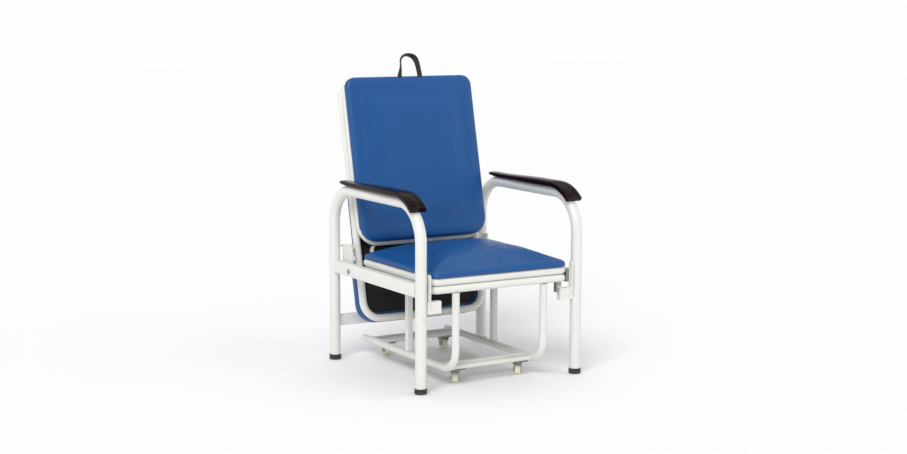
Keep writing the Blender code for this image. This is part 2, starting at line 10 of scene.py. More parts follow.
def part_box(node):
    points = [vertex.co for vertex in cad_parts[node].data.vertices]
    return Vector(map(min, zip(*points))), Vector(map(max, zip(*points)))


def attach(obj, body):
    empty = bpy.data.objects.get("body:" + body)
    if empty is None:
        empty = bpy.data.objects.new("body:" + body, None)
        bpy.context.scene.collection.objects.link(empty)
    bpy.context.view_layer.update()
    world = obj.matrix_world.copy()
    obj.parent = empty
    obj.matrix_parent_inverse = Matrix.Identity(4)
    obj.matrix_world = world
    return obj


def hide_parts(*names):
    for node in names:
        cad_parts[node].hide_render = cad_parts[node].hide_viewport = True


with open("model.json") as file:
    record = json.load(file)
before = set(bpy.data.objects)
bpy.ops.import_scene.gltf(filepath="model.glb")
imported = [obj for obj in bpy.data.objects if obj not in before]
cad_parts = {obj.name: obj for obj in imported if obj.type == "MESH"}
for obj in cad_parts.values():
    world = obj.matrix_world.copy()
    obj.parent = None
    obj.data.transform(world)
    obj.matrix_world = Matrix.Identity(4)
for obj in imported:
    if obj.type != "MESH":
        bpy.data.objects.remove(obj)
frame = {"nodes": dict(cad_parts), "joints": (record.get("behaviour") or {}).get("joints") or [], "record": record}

# Sizes in metres that the frame's boxes don't tell
ARM_BEND = 0.120             # bends of the side arches
BASE_BEND = 0.065            # bends of the rolling base's side tubes
SEAT_CORNERS = (0.0165, 0.0165)      # bends of the seat rings, rear and front
REAR_RING_CORNERS = (0.060, 0.048)   # corner radii of a back ring, bottom and top
FRONT_RING_CORNERS = (0.062, 0.048)
ARM_PAD_DROP = 44.5          # degrees of the front bend under the armrest pad
ARM_PAD_TAIL = 0.044         # length of the tail that is cut away underneath
VOXEL = 0.006                # mesh size of the pads and linings
ROLL_WIDTH = 0.060           # from a pad's rim to the valley behind its rolled edge
FIRM_RIM = 0.110             # the foam's stiff edge, where stretched vinyl hardly swells
PROUD = 0.003                # how far the back cushion's rim stands out past its board
PLEAT_DEPTH = 0.0005         # gathers at a pad's corners
DRAG_DEPTH = 0.0004          # pulls near its rim, and slow waves all over
STRAP_WIDTH = 0.019
STRAP_THICK = 0.0016
FULL_TURN = 2 * math.pi

# Camera, from the middle between the legs on the floor
CAMERA_PLACE = (-2.800, -4.636, 1.226)
CAMERA_YAW = 31.13           # degrees to the right of straight ahead
CAMERA_PITCH = 7.99          # degrees down
CAMERA_ROLL = 0.29
CAMERA_LENS = 66.03

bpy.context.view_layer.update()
record = frame["record"]
nodes = frame["nodes"]
node_body = {node: body for body, members in record["behaviour"]["bodies"].items() for node in members}
joints = {joint["name"]: joint for joint in frame["joints"]}

X_AXIS = Vector((1, 0, 0))
Y_AXIS = Vector((0, 1, 0))
Z_AXIS = Vector((0, 0, 1))
LEAN = math.radians(joints["rear_panel_hinge"]["range_deg"][1] - 90)
UP = Vector((0, math.sin(LEAN), math.cos(LEAN)))     # up the leaning back
BACK = Vector((0, math.cos(LEAN), -math.sin(LEAN)))  # square to it, rearwards
TOP = Vector(joints["top_hinge"]["pos_m"])           # a point on the plane between the two panels
SIDES = (("left", -1), ("right", 1))


# ---------------------------------------------------------------- reading the frame

def extent(node, direction, origin=Vector()):
    """Lowest and highest reach of a CAD node along a direction."""
    reach = [(vertex.co - origin).dot(direction) for vertex in nodes[node].data.vertices]
    return min(reach), max(reach)


def middle(node):
    """Centre of a CAD node's box."""
    low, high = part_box(node)
    return (low + high) / 2


def on_back(x, up, out):
    """Point by its place across, up and rearwards of the leaning back's middle plane."""
    return TOP + X_AXIS * x + UP * up + BACK * out


LEG_MID_Y = middle("side_arch_left").y


# ---------------------------------------------------------------- pieces

def link(name, data):
    """New object in the scene."""
    obj = bpy.data.objects.new(name, data)
    bpy.context.scene.collection.objects.link(obj)
    return obj


def ride_as(obj, node, material):
    """Finish a piece that is fixed beside a CAD node: its material and body."""
    obj.data.materials.append(material)
    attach(obj, node_body[node])
    return obj


def stand_for(obj, node, material):
    """Finish a piece that is shown in place of a CAD node."""
    ride_as(obj, node, material)
    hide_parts(node)
    return obj


def dress(node, material, edge=0.0005):
    """Keep a CAD node: its own material and softened edges."""
    obj = nodes[node]
    for material_slot in obj.material_slots:
        material_slot.material = material
    weld = obj.modifiers.new("weld", "WELD")
    weld.merge_threshold = 0.00002
    bevel = obj.modifiers.new("edges", "BEVEL")
    bevel.width = edge
    bevel.segments = 2
    bevel.limit_method = "ANGLE"
    bevel.angle_limit = math.radians(40)


def mesh_object(name, work, smooth_angle=35):
    """Object from a bmesh with its faces out, shaded smooth up to an angle."""
    bmesh.ops.recalc_face_normals(work, faces=work.faces)
    mesh = bpy.data.meshes.new(name)
    work.to_mesh(mesh)
    work.free()
    mesh.shade_smooth()
    mesh.set_sharp_from_angle(angle=math.radians(smooth_angle))
    return link(name, mesh)


def rounded_box(name, low, high, edge, segments=3):
    """Box between two corners with rounded edges."""
    work = bmesh.new()
    bmesh.ops.create_cube(work, size=1.0)
    size = Vector(high) - Vector(low)
    bmesh.ops.scale(work, vec=size, verts=work.verts)
    bmesh.ops.translate(work, vec=(Vector(high) + Vector(low)) / 2, verts=work.verts)
    bmesh.ops.bevel(work, geom=work.edges, offset=edge, segments=segments, affect="EDGES", profile=0.5)
    return mesh_object(name, work)


def arc(centre, radius, first, last, steps):
    """Points of an arc in a plane; the angles are in degrees."""
    points = []
    for k in range(steps + 1):
        angle = math.radians(first + (last - first) * k / steps)
        points.append((centre[0] + radius * math.cos(angle), centre[1] + radius * math.sin(angle)))
    return points


def rounded_rect(half_x, low, high, low_radius, high_radius, steps=12):
    """Rounded rectangle, anticlockwise from the middle of its low side."""
    points = arc((half_x - low_radius, low + low_radius), low_radius, -90, 0, steps)
    points += arc((half_x - high_radius, high - high_radius), high_radius, 0, 90, steps)
    points += arc((high_radius - half_x, high - high_radius), high_radius, 90, 180, steps)
    points += arc((low_radius - half_x, low + low_radius), low_radius, 180, 270, steps)
    return points


def tube(name, points, radius, closed=False, resolution=10):
    """Smooth round tube along points."""
    curve = bpy.data.curves.new(name, "CURVE")
    curve.dimensions = "3D"
    curve.fill_mode = "FULL"
    curve.bevel_depth = radius
    curve.bevel_resolution = resolution
    curve.use_fill_caps = not closed
    spline = curve.splines.new("POLY")
    spline.points.add(len(points) - 1)
    spline.use_cyclic_u = closed
    for point, position in zip(spline.points, points):
        point.co = (*position, 1.0)
    return link(name, curve)


def turned(name, centre, axis, profile, segments=48):
    """Solid turned about an axis from (radius, height) points that start and end on it."""
    work = bmesh.new()
    verts = [work.verts.new((radius, 0, height)) for radius, height in profile]
    edges = [work.edges.new(pair) for pair in zip(verts, verts[1:])]
    bmesh.ops.spin(work, geom=verts + edges, cent=(0, 0, 0), axis=(0, 0, 1), angle=FULL_TURN,
                   steps=segments, use_merge=True)
    bmesh.ops.remove_doubles(work, verts=work.verts, dist=0.000005)
    turn = Z_AXIS.rotation_difference(Vector(axis)).to_matrix().to_4x4()
    bmesh.ops.transform(work, matrix=Matrix.Translation(centre) @ turn, verts=work.verts)
    return mesh_object(name, work, 30)


def loft(name, rows, smooth_angle=35):
    """Closed form through rows of points, each row a closed section."""
    work = bmesh.new()
    made = [[work.verts.new(point) for point in row] for row in rows]
    count = len(rows[0])
    for first, second in zip(made, made[1:]):
        for i in range(count):
            j = (i + 1) % count
            work.faces.new((first[i], first[j], second[j], second[i]))
    work.faces.new(made[0])
    work.faces.new(reversed(made[-1]))
    return mesh_object(name, work, smooth_angle)


# ---------------------------------------------------------------- materials

class Look:
    """One material's node tree, with short ways to add what the looks share."""

    def __init__(self, name, colour, roughness, metallic=0.0):
        self.material = bpy.data.materials.new(name)
        self.material.use_nodes = True
        self.tree = self.material.node_tree
        self.shader = self.tree.nodes["Principled BSDF"]
        self.shader.inputs["Base Color"].default_value = (*colour, 1.0)
        self.shader.inputs["Roughness"].default_value = roughness
        self.shader.inputs["Metallic"].default_value = metallic
        self.colour = colour
        self.place = self.tree.nodes.new("ShaderNodeTexCoord").outputs["Object"]
        self.height = None

    def new(self, kind, **values):
        """Add a node and set its inputs by name."""
        node = self.tree.nodes.new(kind)
        for key, value in values.items():
            node.inputs[key.replace("_", " ")].default_value = value
        return node

    def stretched(self, stretch):
        """Object coordinates, stretched so that a pattern runs along one way."""
        mapping = self.new("ShaderNodeMapping", Scale=stretch)
        self.tree.links.new(self.place, mapping.inputs["Vector"])
        return mapping.outputs["Vector"]

    def noise(self, scale, detail=4.0, stretch=(1, 1, 1)):
        """Soft noise between 0 and 1, with its cell size one over the scale in metres."""
        node = self.new("ShaderNodeTexNoise", Scale=scale, Detail=detail)
        self.tree.links.new(self.stretched(stretch), node.inputs["Vector"])
        return node.outputs["Fac"]

    def cells(self, scale, feature="F1"):
        """Distance to the nearest cell point."""
        node = self.new("ShaderNodeTexVoronoi", Scale=scale)
        node.feature = feature
        self.tree.links.new(self.place, node.inputs["Vector"])
        return node.outputs["Distance"]

    def ramp(self, value, start, end, low=0.0, high=1.0):
        """Map a value from start..end to low..high and hold it there."""
        node = self.new("ShaderNodeMapRange", From_Min=start, From_Max=end, To_Min=low, To_Max=high)
        self.tree.links.new(value, node.inputs["Value"])
        return node.outputs["Result"]

    def tint(self, amount, colour):
        """Mix another colour into the base colour where amount is high."""
        node = self.tree.nodes.new("ShaderNodeMix")
        node.data_type = "RGBA"
        socket = self.shader.inputs["Base Color"]
        if socket.is_linked:
            self.tree.links.new(socket.links[0].from_socket, node.inputs[6])
        else:
            node.inputs[6].default_value = (*self.colour, 1.0)
        node.inputs[7].default_value = (*colour, 1.0)
        self.tree.links.new(amount, node.inputs[0])
        self.tree.links.new(node.outputs[2], socket)

    def rough(self, value):
        """Let a value drive the roughness."""
        self.tree.links.new(value, self.shader.inputs["Roughness"])

    def bump(self, value, depth):
        """Add relief; depth is in metres."""
        node = self.new("ShaderNodeBump", Strength=1.0, Distance=depth)
        self.tree.links.new(value, node.inputs["Height"])
        if self.height is not None:
            self.tree.links.new(self.height, node.inputs["Normal"])
        self.height = node.outputs["Normal"]
        self.tree.links.new(self.height, self.shader.inputs["Normal"])

    def set(self, **values):
        """Set the shader's own sockets."""
        for key, value in values.items():
            self.shader.inputs[key.replace("_", " ")].default_value = value

    def worn(self, colour, start=0.53, end=0.60):
        """Tint sharp outer edges."""
        pointiness = self.tree.nodes.new("ShaderNodeNewGeometry").outputs["Pointiness"]
        self.tint(self.ramp(pointiness, start, end, 0.0, 0.6), colour)


def powder_coat():
    """Off-white powder coat: orange peel, faint mottling and scuffs."""
    look = Look("powder_coat", (0.775, 0.775, 0.735), 0.34)
    look.tint(look.ramp(look.noise(9), 0.35, 0.7, 0.0, 0.5), (0.745, 0.745, 0.70))
    look.tint(look.ramp(look.noise(260, 2, (1, 1, 0.3)), 0.69, 0.76, 0.0, 0.35), (0.55, 0.54, 0.50))
    look.worn((0.70, 0.69, 0.65))
    look.rough(look.ramp(look.noise(35), 0.3, 0.7, 0.28, 0.42))
    look.bump(look.noise(520, 2), 0.00007)
    look.bump(look.noise(60, 2), 0.0001)
    look.set(Coat_Weight=0.15, Coat_Roughness=0.18)
    return look.material


def vinyl():
    """Royal blue upholstery vinyl: pebbled grain, soft creases, rubbed edges."""
    look = Look("blue_vinyl", (0.0012, 0.079, 0.272), 0.40)
    look.tint(look.ramp(look.noise(5), 0.35, 0.65, 0.0, 0.5), (0.003, 0.092, 0.300))
    look.tint(look.ramp(look.cells(1050), 0.25, 0.65, 0.0, 0.40), (0.001, 0.052, 0.205))
    look.worn((0.020, 0.13, 0.37), 0.53, 0.63)
    look.rough(look.ramp(look.noise(28), 0.3, 0.7, 0.33, 0.47))
    look.bump(look.cells(1050), -0.00010)
    look.bump(look.noise(320, 3), 0.00006)
    look.bump(look.noise(26, 3, (1.0, 1.0, 0.45)), 0.0006)
    look.set(Specular_IOR_Level=0.42)
    return look.material


def lining():
    """Black non-woven lining: matt, with a pressed dimple pattern and lint."""
    look = Look("black_lining", (0.016, 0.015, 0.017), 0.88)
    look.tint(look.ramp(look.noise(14), 0.4, 0.7, 0.0, 0.6), (0.026, 0.024, 0.027))
    look.tint(look.ramp(look.noise(900, 2), 0.68, 0.74, 0.0, 0.5), (0.09, 0.085, 0.085))
    look.rough(look.ramp(look.noise(60), 0.3, 0.7, 0.80, 0.95))
    look.bump(look.cells(620), 0.00018)
    look.bump(look.noise(1500, 3), 0.0001)
    look.bump(look.noise(18, 2), 0.0012)
    look.set(Sheen_Weight=0.05, Sheen_Roughness=0.6, Specular_IOR_Level=0.25)
    return look.material


def webbing():
    """Black woven strap: cross ribs and thread variation."""
    look = Look("black_webbing", (0.020, 0.019, 0.020), 0.70)
    ribs = look.new("ShaderNodeTexWave", Scale=155.0, Distortion=1.2, Detail=1.0)
    ribs.bands_direction = "Z"
    look.tree.links.new(look.place, ribs.inputs["Vector"])
    threads = look.new("ShaderNodeTexWave", Scale=260.0, Distortion=0.6, Detail=1.0)
    threads.bands_direction = "X"
    look.tree.links.new(look.place, threads.inputs["Vector"])
    look.tint(look.ramp(ribs.outputs["Fac"], 0.3, 0.9, 0.0, 0.6), (0.050, 0.048, 0.050))
    look.rough(look.ramp(look.noise(200), 0.3, 0.7, 0.60, 0.80))
    look.bump(ribs.outputs["Fac"], 0.0004)
    look.bump(threads.outputs["Fac"], 0.0002)
    look.set(Sheen_Weight=0.10, Sheen_Roughness=0.4, Specular_IOR_Level=0.3)
    return look.material


def gloss_brown():
    """Dark red-brown moulded armrest: polished, with hairline scratches."""
    look = Look("gloss_brown", (0.0085, 0.0014, 0.0010), 0.09)
    look.tint(look.ramp(look.noise(11), 0.35, 0.7, 0.0, 0.7), (0.0150, 0.0032, 0.0024))
    look.worn((0.035, 0.018, 0.016), 0.55, 0.66)
    scratches = look.noise(900, 2, (1.0, 0.04, 1.0))
    look.rough(look.ramp(scratches, 0.45, 0.75, 0.07, 0.20))
    look.bump(scratches, 0.00002)
    look.bump(look.noise(45, 2), 0.00015)
    look.set(Specular_IOR_Level=0.11)
    return look.material


def rubber():
    """Black rubber foot, dusty towards the floor."""
    look = Look("black_rubber", (0.022, 0.022, 0.023), 0.62)
    low = look.new("ShaderNodeSeparateXYZ")
    look.tree.links.new(look.place, low.inputs["Vector"])
    look.tint(look.ramp(low.outputs["Z"], 0.0, 0.012, 0.55, 0.0), (0.085, 0.080, 0.072))
    look.tint(look.ramp(look.noise(400), 0.55, 0.75, 0.0, 0.5), (0.05, 0.05, 0.05))
    look.rough(look.ramp(look.noise(120), 0.3, 0.7, 0.50, 0.72))
    look.bump(look.noise(700, 3), 0.00012)
    return look.material


def zinc():
    """Bright zinc plate with a faint spangle and brushed grain."""
    look = Look("zinc_plate", (0.42, 0.42, 0.41), 0.32, 1.0)
    look.tint(look.ramp(look.cells(380), 0.1, 0.7, 0.0, 0.6), (0.30, 0.30, 0.295))
    look.tint(look.ramp(look.noise(150), 0.6, 0.75, 0.0, 0.5), (0.22, 0.20, 0.17))
    look.rough(look.ramp(look.noise(300, 3, (1, 1, 0.15)), 0.3, 0.7, 0.24, 0.46))
    look.bump(look.noise(500, 3, (1, 1, 0.2)), 0.00005)
    return look.material


def nylon():
    """Cream caster nylon, a little see-through, with floor marks on the tread."""
    look = Look("cream_nylon", (0.74, 0.70, 0.52), 0.38)
    look.tint(look.ramp(look.noise(120), 0.35, 0.7, 0.0, 0.7), (0.82, 0.80, 0.68))
    look.tint(look.ramp(look.noise(420, 3), 0.63, 0.74, 0.0, 0.5), (0.42, 0.38, 0.27))
    look.rough(look.ramp(look.noise(90), 0.3, 0.7, 0.30, 0.48))
    look.bump(look.noise(300, 3), 0.00008)
    look.set(Subsurface_Weight=0.15, Subsurface_Scale=0.004)
    return look.material


def plug_plastic():
    """Pale grey plastic end plug."""
    look = Look("grey_plastic", (0.60, 0.60, 0.57), 0.45)
    look.tint(look.ramp(look.noise(200), 0.4, 0.7, 0.0, 0.6), (0.50, 0.50, 0.47))
    look.rough(look.ramp(look.noise(90), 0.3, 0.7, 0.38, 0.55))
    look.bump(look.noise(900, 2), 0.00006)
    return look.material


def floor_paint():
    """Plain pale floor."""
    look = Look("pale_floor", (0.95, 0.95, 0.95), 0.75)
    look.tint(look.ramp(look.noise(1.5, 3), 0.3, 0.7, 0.0, 0.5), (0.935, 0.935, 0.935))
    look.bump(look.noise(60, 3), 0.0002)
    return look.material


WHITE = powder_coat()
BLUE = vinyl()
LINING = lining()
WEBBING = webbing()
BROWN = gloss_brown()
RUBBER = rubber()
ZINC = zinc()
NYLON = nylon()
PLUG = plug_plastic()


# ---------------------------------------------------------------- camera, floor and light

def studio():
    """Camera at the front left, a pale floor and soft light all round."""
    camera = link("camera", bpy.data.cameras.new("camera"))
    yaw, pitch, roll = (math.radians(a) for a in (CAMERA_YAW, CAMERA_PITCH, CAMERA_ROLL))
    turn = Matrix.Rotation(-yaw, 4, "Z") @ Matrix.Rotation(math.pi / 2 - pitch, 4, "X")
    turn = turn @ Matrix.Rotation(roll, 4, "Z")
    place = Vector(CAMERA_PLACE) + Y_AXIS * LEG_MID_Y
    camera.matrix_world = Matrix.Translation(place) @ turn
    camera.data.lens = CAMERA_LENS
    camera.data.sensor_width = 36
    camera.data.clip_end = 60
    bpy.context.scene.camera = camera

    work = bmesh.new()
    bmesh.ops.create_grid(work, x_segments=4, y_segments=4, size=20)
    floor = mesh_object("floor", work)
    floor.data.materials.append(floor_paint())

    sky = bpy.data.worlds.new("studio")
    sky.use_nodes = True
    tree = sky.node_tree
    backdrop = tree.nodes["Background"]
    backdrop.inputs["Color"].default_value = (0.985, 0.99, 1.0, 1.0)
    direction = tree.nodes.new("ShaderNodeTexCoord")
    height = tree.nodes.new("ShaderNodeSeparateXYZ")
    fade = tree.nodes.new("ShaderNodeMapRange")      # white horizon, dimmer overhead
    fade.inputs["From Min"].default_value = 0.10
    fade.inputs["From Max"].default_value = 0.40
    fade.inputs["To Min"].default_value = 1.0
    fade.inputs["To Max"].default_value = 0.42
    tree.links.new(direction.outputs["Generated"], height.inputs["Vector"])
    tree.links.new(height.outputs["Z"], fade.inputs["Value"])
    tree.links.new(fade.outputs["Result"], backdrop.inputs["Strength"])
    bpy.context.scene.world = sky
    bpy.context.scene.view_settings.view_transform = "Standard"

    suns = (                 # where the light comes from, watts, width in degrees
        ((-0.75, -0.70, 0.95), 1.75, 34),
        ((0.85, -0.55, 0.80), 0.35, 50),
        ((0.10, 0.30, 1.00), 0.55, 60),
    )
    for number, (source, watts, width) in enumerate(suns):
        lamp = link(f"softbox_{number}", bpy.data.lights.new(f"softbox_{number}", "SUN"))
        lamp.data.angle = math.radians(width)
        lamp.data.energy = watts
        lamp.rotation_euler = Vector(source).to_track_quat("Z", "Y").to_euler()


# ---------------------------------------------------------------- tubes and bars

def side_arches():
    """Bent tubes of the side frames, with their rubber feet."""
    for side, sign in SIDES:
        node = "side_arch_" + side
        low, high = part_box(node)
        radius = (high.x - low.x) / 2
        x = (high.x + low.x) / 2
        front, rear, top = low.y + radius, high.y - radius, high.z - radius
        outline = [(front, low.z)]
        outline += arc((front + ARM_BEND, top - ARM_BEND), ARM_BEND, 180, 90, 24)
        outline += arc((rear - ARM_BEND, top - ARM_BEND), ARM_BEND, 90, 0, 24)
        outline.append((rear, low.z))
        stand_for(tube(node, [(x, y, z) for y, z in outline], radius, resolution=14), node, WHITE)
        for end in ("front", "rear"):
            foot_cap(f"foot_cap_{end}_{side}")


def foot_cap(node):
    """Ribbed rubber cup with a rolled lip."""
    low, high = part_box(node)
    centre = middle(node)
    radius, top = (high.x - low.x) / 2, high.z - low.z
    profile = [(0, 0), (radius - 0.0035, 0), (radius - 0.0012, 0.0008), (radius - 0.0002, 0.0028)]
    for k in range(4):
        base = 0.0042 + 0.0026 * k
        profile += [(radius - 0.0002, base), (radius - 0.0007, base + 0.0005),
                    (radius - 0.0007, base + 0.0012), (radius - 0.0002, base + 0.0018)]
    profile += [(radius - 0.0001, top - 0.002), (radius, top - 0.0012), (radius - 0.0003, top - 0.0003),
                (radius - 0.0010, top), (radius - 0.0019, top - 0.0004), (radius - 0.0019, 0.006),
                (0, 0.006)]
    base = Vector((centre.x, centre.y, low.z))
    stand_for(turned(node, base, Z_AXIS, profile), node, RUBBER)


def flat_ring(node):
    """Level rounded ring of tube under the seat."""
    low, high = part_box(node)
    radius = (high.z - low.z) / 2
    z = low.z + radius
    outline = rounded_rect(high.x - radius, -(high.y - radius), -(low.y + radius), *SEAT_CORNERS)
    stand_for(tube(node, [(x, -depth, z) for x, depth in outline], radius, closed=True), node, WHITE)


def back_ring(node, corners):
    """Leaning rounded ring of a back panel."""
    out_low, out_high = extent(node, BACK, TOP)
    up_low, up_high = extent(node, UP, TOP)
    half = extent(node, X_AXIS)[1]
    radius = (out_high - out_low) / 2
    out = (out_high + out_low) / 2
    outline = rounded_rect(half - radius, up_low + radius, up_high - radius, *corners)
    stand_for(tube(node, [on_back(x, up, out) for x, up in outline], radius, closed=True), node, WHITE)


def rolling_base():
    """Side tubes with their end plugs, and the cross tubes between them."""
    for side, sign in SIDES:
        node = "base_side_tube_" + side
        low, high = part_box(node)
        radius = (high.x - low.x) / 2
        x = (high.x + low.x) / 2
        front, level = low.y + radius, low.z + radius
        outline = [(front, high.z)]
        outline += arc((front + BASE_BEND, level + BASE_BEND), BASE_BEND, 180, 270, 20)
        outline.append((high.y, level))
        stand_for(tube(node, [(x, y, z) for y, z in outline], radius), node, WHITE)
        rim = [(0, -0.002), (radius - 0.0014, -0.002), (radius - 0.0014, 0), (radius - 0.0006, 0.0002),
               (radius - 0.0008, 0.0014), (radius - 0.0025, 0.0024), (radius - 0.0060, 0.0029), (0, 0.0030)]
        end = Vector((x, high.y, level))
        ride_as(turned("end_plug_" + side, end, Y_AXIS, rim), node, PLUG)
    for end in ("front", "rear"):
        for number in (1, 2):
            node = f"{end}_cross_tube_{number}"
            low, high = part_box(node)
            centre = middle(node)
            ends = [(low.x - 0.0004, centre.y, centre.z), (high.x + 0.0004, centre.y, centre.z)]
            stand_for(tube(node, ends, (high.z - low.z) / 2), node, WHITE)


def bars():
    """Rectangular rails, posts and cross bars."""
    for node in ("side_rail_left", "side_rail_right", "rear_cross_bar", "seat_cross_bar",
                 "rear_upright_left", "rear_upright_right"):
        stand_for(rounded_box(node, *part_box(node), 0.0028, 4), node, WHITE)


def weld_bead(name, loop, node, size=0.0016):
    """Lumpy bead of weld along a closed loop of points."""
    bead = tube(name, loop, size, closed=True, resolution=3)
    for k, point in enumerate(bead.data.splines[0].points):
        point.radius = 0.85 + 0.35 * noise.noise(Vector(point.co[:3]) * 400) + 0.12 * (k % 2)
    ride_as(bead, node, WHITE)


def loop_round(centre, first, second, radius_1, radius_2, count=44, power=2.0):
    """Closed loop of points round a round (power 2) or squarish (power 6) section."""
    points = []
    for k in range(count):
        angle = FULL_TURN * k / count
        c, s = math.cos(angle), math.sin(angle)
        u = math.copysign(abs(c) ** (2 / power), c) * radius_1
        v = math.copysign(abs(s) ** (2 / power), s) * radius_2
        points.append(centre + first * u + second * v)
    return points


def welds():
    """Beads where bars meet legs and tubes meet tubes."""
    for side, sign in SIDES:
        rail_low, rail_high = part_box("side_rail_" + side)
        rail = middle("side_rail_" + side)
        size = (rail_high - rail_low) / 2
        for end, y in (("front", rail_low.y + 0.0010), ("rear", rail_high.y - 0.0010)):
            loop = loop_round(Vector((rail.x, y, rail.z)), X_AXIS, Z_AXIS, size.x, size.z, 64, 7)
            weld_bead(f"weld_rail_{end}_{side}", loop, "side_rail_" + side)

        low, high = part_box("rear_cross_bar")
        centre, size = (low + high) / 2, (high - low) / 2
        centre.x = sign * (high.x - 0.0010)
        weld_bead("weld_cross_bar_" + side, loop_round(centre, Y_AXIS, Z_AXIS, size.y, size.z, 56, 7),
                  "rear_cross_bar")

        low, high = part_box("rear_upright_" + side)
        centre, half = (low + high) / 2, (high - low) / 2
        for end, z in (("low", low.z + 0.0006), ("high", high.z - 0.0006)):
            loop = loop_round(Vector((centre.x, centre.y, z)), X_AXIS, Y_AXIS, half.x, half.y, 44, 7)
            weld_bead(f"weld_upright_{end}_{side}", loop, "rear_upright_" + side, 0.0013)

        low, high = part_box("base_side_tube_" + side)
        radius = (high.x - low.x) / 2
        top = Vector((sign * abs(low.x + high.x) / 2, low.y + radius, high.z - 0.0006))
        weld_bead("weld_base_top_" + side, loop_round(top, X_AXIS, Y_AXIS, radius, radius),
                  "base_side_tube_" + side, 0.0014)

        for end in ("front", "rear"):
            for number in (1, 2):
                node = f"{end}_cross_tube_{number}"
                low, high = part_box(node)
                centre = middle(node)
                centre.x = sign * (high.x - 0.0006)
                radius = (high.z - low.z) / 2
                weld_bead(f"weld_{node}_{side}", loop_round(centre, Y_AXIS, Z_AXIS, radius, radius, 32),
                          node, 0.0012)


# ---------------------------------------------------------------- armrests

def armrests():
    """Glossy pads: crowned top, bevelled sides, a thin cut-away tail and a squared nose with a lip."""
    for side, sign in SIDES:
        node = "armrest_" + side
        low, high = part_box(node)
        arch_low, arch_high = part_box("side_arch_" + side)
        tube_radius = (arch_high.x - arch_low.x) / 2
        bend = Vector(((low.x + high.x) / 2, arch_low.y + tube_radius + ARM_BEND,
                       arch_high.z - tube_radius - ARM_BEND))
        under = ARM_BEND + tube_radius + 0.0002
        thick = high.z - arch_high.z - 0.0002
        half_width = (high.x - low.x) / 2
        rows = []
        for y, angle, width, height, cut in arm_stations(high.y, bend.y):
            turn = math.radians(angle)
            outwards = Vector((0, math.cos(turn), math.sin(turn)))
            foot = bend + outwards * under
            if y is not None:
                foot.y = y
            tall = thick * height
            rows.append([foot + X_AXIS * (u * half_width * width) + outwards * (tall * (cut + (1 - cut) * v))
                         for u, v in arm_section()])
        pad = loft(node, rows, 28)
        bevel = pad.modifiers.new("edges", "BEVEL")
        bevel.width = 0.0012
        bevel.segments = 3
        bevel.limit_method = "ANGLE"
        bevel.angle_limit = math.radians(38)
        stand_for(pad, node, BROWN)


def arm_stations(tail, bend_y):
    """Stations from the tail to the nose: depth, outward angle, width, thickness, cut underneath."""
    stations = []
    for d in (0.0, 0.0012, 0.0035, 0.0075, 0.0130, 0.0200, 0.0300, 0.0400, ARM_PAD_TAIL):
        round_off = math.sqrt(max(0.0, 1 - (1 - min(d / 0.013, 1.0)) ** 2))
        stations.append((tail - d, 90, 0.42 + 0.36 * round_off, 0.62 + 0.06 * round_off,
                         0.40 * (1 - d / ARM_PAD_TAIL)))
    start = tail - ARM_PAD_TAIL
    for k in range(1, 17):
        t = k / 16
        grow = min(1.0, 1.25 * t)
        grow = grow * grow * (3 - 2 * grow)
        stations.append((start + (bend_y - start) * t, 90, 0.78 + 0.22 * grow, 0.68 + 0.32 * grow, 0.0))
    for t in [k / 16 for k in range(1, 15)] + [0.905, 0.925, 0.945, 1.0]:
        lip = 0.955 if 0.92 < t < 0.93 else 1.0
        stations.append((None, 90 + ARM_PAD_DROP * t, 0.985 if lip < 1 else 1.0, lip, 0.0))
    return stations


def arm_section():
    """Section of the pad, all round: (across, up) in shares of half its width and its thickness."""
    half = [(0.0, 0.0), (0.70, 0.0), (0.90, 0.01), (0.975, 0.05), (1.0, 0.14), (1.0, 0.42), (0.995, 0.62),
            (0.97, 0.72), (0.91, 0.79), (0.80, 0.85), (0.62, 0.91), (0.40, 0.96), (0.20, 0.99), (0.0, 1.0)]
    return half + [(-u, v) for u, v in reversed(half[1:-1])]


# ---------------------------------------------------------------- upholstery

# Profiles from the rim inwards: inset in metres, height as a share of the thickness
BACK_PROFILE = ((0.0, 0.0), (0.0, 0.36), (0.0002, 0.58), (0.0016, 0.72), (0.0048, 0.83), (0.0105, 0.915),
                (0.019, 0.968), (0.030, 0.992), (0.042, 0.985), (0.056, 0.962), (0.072, 0.955),
                (0.095, 0.965), (0.140, 0.99), (0.190, 1.0))
PAD_PROFILE = ((0.0, 0.0), (0.0, 0.40), (0.0008, 0.68), (0.0028, 0.86), (0.006, 0.94), (0.015, 0.97),
               (0.040, 0.99), (0.090, 1.0))
PILLOW_PROFILE = ((0.0, 0.0), (0.0, 0.42), (0.0004, 0.68), (0.0024, 0.82), (0.007, 0.91), (0.015, 0.96),
                  (0.035, 0.985), (0.070, 0.997), (0.100, 1.0))
SEAT_PROFILE = ((0.0, 0.0), (0.0, 0.12), (0.0005, 0.22), (0.0028, 0.300), (0.007, 0.355), (0.014, 0.40),
                (0.030, 0.48), (0.060, 0.62), (0.100, 0.79), (0.150, 0.92), (0.195, 0.985), (0.225, 1.0))


def pad_rows(half_x, low, high, radii, thick, profile):
    """Outlines of a crowned pad, stacked up from its flat base."""
    rows = []
    for inset, share in profile:
        corner_low, corner_high = (max(radius - 0.5 * inset, 0.008) for radius in radii)
        outline = rounded_rect(half_x - inset, low + inset, high - inset, corner_low, corner_high, 8)
        rows.append([(x, v, thick * share) for x, v in outline])
    return rows


def remesh(obj, size):
    """Even mesh of small squares over the whole form."""
    modifier = obj.modifiers.new("remesh", "REMESH")
    modifier.mode = "VOXEL"
    modifier.voxel_size = size
    bake(obj)


